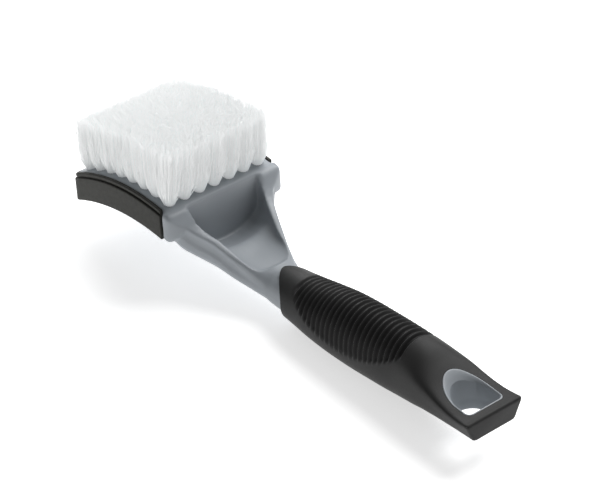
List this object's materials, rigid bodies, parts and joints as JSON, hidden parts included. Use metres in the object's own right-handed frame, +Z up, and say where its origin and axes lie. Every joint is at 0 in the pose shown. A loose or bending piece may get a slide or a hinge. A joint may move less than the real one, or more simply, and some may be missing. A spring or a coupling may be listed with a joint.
{
  "type": "tire brush",
  "caption": "Hand brush for tires: curved head of stiff translucent bristles on a scooped yoke, rubber bumper, soft ribbed grip and a D-shaped hang hole.",
  "frame": {"origin": "bottom centre of the whole part's bounding box, as it lies with the bristles up", "axes": "+X along the brush towards the tail, +Y across the head, +Z up on the bristle side; the handle's tail is tilted up 4.5 degrees, as in the picture"},
  "size_m": [0.2656, 0.07, 0.0763],
  "materials": {
    "grey_moulding": "satin moulded",
    "black_overmould": "soft matte",
    "bumper_rubber": "matte",
    "bristle": "milky translucent",
    "anchor_wire": "drawn wire"
  },
  "bodies": {
    "root": {"brush_body": "grey_moulding", "grip_overmould": "black_overmould", "head_bumper": "bumper_rubber", "bristle_row_1": "bristle", "bristle_row_2": "bristle", "bristle_row_3": "bristle", "bristle_row_4": "bristle", "bristle_row_5": "bristle", "bristle_row_6": "bristle", "bristle_row_7": "bristle", "bristle_row_8": "bristle", "anchor_wire_1": "anchor_wire", "anchor_wire_2": "anchor_wire", "anchor_wire_3": "anchor_wire", "anchor_wire_4": "anchor_wire", "anchor_wire_5": "anchor_wire", "anchor_wire_6": "anchor_wire", "anchor_wire_7": "anchor_wire", "anchor_wire_8": "anchor_wire"}
  },
  "joints": []
}
